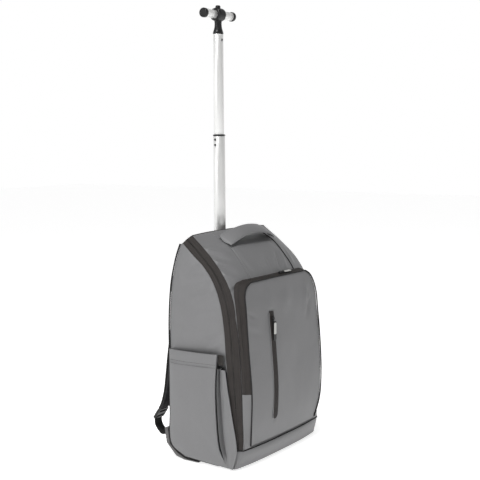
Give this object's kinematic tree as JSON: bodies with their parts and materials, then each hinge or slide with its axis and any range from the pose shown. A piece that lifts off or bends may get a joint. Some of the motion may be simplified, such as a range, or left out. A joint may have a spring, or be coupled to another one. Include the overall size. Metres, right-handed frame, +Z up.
{
  "type": "wheeled backpack",
  "caption": "Wheeled backpack with a telescopic single-pole T-grip, a zipped front pocket, side pockets, shoulder straps and corner wheels.",
  "frame": {"origin": "on the floor, under the middle of the whole part's box", "axes": "+Z up, -Y towards the front pocket, +Y towards the wearer's back, X across the bag"},
  "size_m": [0.354, 0.2696, 1.0025],
  "materials": {
    "coated_cloth": "grey coated polyester with a satin sheen",
    "zip_tape": "black ribbed zip tape",
    "piping": "black bound seam",
    "webbing": "black woven webbing",
    "back_mesh": "black spacer mesh",
    "moulded_plastic": "dark grey moulded plastic",
    "black_plastic": "black plastic",
    "pole_metal": "satin anodised aluminium",
    "steel": "plain steel",
    "pull_tab": "light grey pull tab",
    "wheel_rubber": "black rubber"
  },
  "bodies": {
    "bag": {"top_front_centre": "coated_cloth", "top_front_left": "coated_cloth", "top_front_right": "coated_cloth", "zip_band_left": "zip_tape", "zip_band_right": "zip_tape", "zip_band_top": "zip_tape", "back_panel": "back_mesh", "rear_ledge": "coated_cloth", "side_panel_left": "coated_cloth", "side_panel_right": "coated_cloth", "base_panel": "coated_cloth", "wheel_guard_left": "moulded_plastic", "wheel_guard_right": "moulded_plastic", "axle_left": "steel", "axle_right": "steel", "front_foot_left": "wheel_rubber", "front_foot_right": "wheel_rubber", "front_pocket_panel": "coated_cloth", "pocket_zip_gusset": "zip_tape", "pocket_gusset_left": "coated_cloth", "pocket_gusset_right": "coated_cloth", "pocket_piping": "piping", "side_piping_left": "piping", "side_piping_right": "piping", "front_zip": "zip_tape", "front_zip_slider": "black_plastic", "pocket_slider": "black_plastic", "side_pocket_left": "coated_cloth", "side_pocket_right": "coated_cloth", "side_fold_left": "coated_cloth", "side_fold_right": "coated_cloth", "side_elastic_left": "webbing", "side_elastic_right": "webbing", "carry_handle": "coated_cloth", "back_pad_left": "back_mesh", "back_pad_right": "back_mesh", "shoulder_strap_left": "back_mesh", "shoulder_strap_right": "back_mesh", "ladder_lock_left": "black_plastic", "ladder_lock_right": "black_plastic", "strap_webbing_left": "webbing", "strap_webbing_right": "webbing", "pole_channel": "pole_metal", "pole_collar": "black_plastic"},
    "lower_pole": {"lower_pole": "pole_metal", "pole_ring": "black_plastic", "rivet_high": "black_plastic", "rivet_low": "black_plastic"},
    "upper_pole": {"upper_pole": "pole_metal", "rivet_front": "black_plastic", "grip_hub": "black_plastic", "grip_tube_left": "pole_metal", "grip_tube_right": "pole_metal", "grip_cap_left": "black_plastic", "grip_cap_right": "black_plastic"},
    "grip_button": {"grip_button": "black_plastic"},
    "wheel_left": {"wheel_left": "wheel_rubber"},
    "wheel_right": {"wheel_right": "wheel_rubber"},
    "front_zip_puller": {"front_zip_puller": "pull_tab"},
    "pocket_puller": {"pocket_puller": "pull_tab"}
  },
  "joints": [
    {"name": "lower_pole_slide", "type": "slide", "parent": "bag", "child": "lower_pole", "axis": [0, 0, 1], "range_m": [-0.205, 0]},
    {"name": "upper_pole_slide", "type": "slide", "parent": "lower_pole", "child": "upper_pole", "axis": [0, 0, 1], "range_m": [-0.208, 0]},
    {"name": "grip_button_press", "type": "slide", "parent": "upper_pole", "child": "grip_button", "axis": [0, 0, 1], "range_m": [-0.003, 0], "stiffness_N_per_m": 400},
    {"name": "wheel_left_roll", "type": "hinge", "parent": "bag", "child": "wheel_left", "pos_m": [-0.135, 0.0438, 0.03], "axis": [1, 0, 0], "continuous": true},
    {"name": "wheel_right_roll", "type": "hinge", "parent": "bag", "child": "wheel_right", "pos_m": [0.135, 0.0438, 0.03], "axis": [1, 0, 0], "continuous": true},
    {"name": "front_zip_puller_swing", "type": "hinge", "parent": "bag", "child": "front_zip_puller", "pos_m": [-0.0547, -0.1302, 0.3102], "axis": [1, 0, 0], "range_deg": [-150, 0]},
    {"name": "pocket_puller_swing", "type": "hinge", "parent": "bag", "child": "pocket_puller", "pos_m": [0.0306, -0.1018, 0.4081], "axis": [0, 1, 0], "range_deg": [-90, 0]}
  ]
}
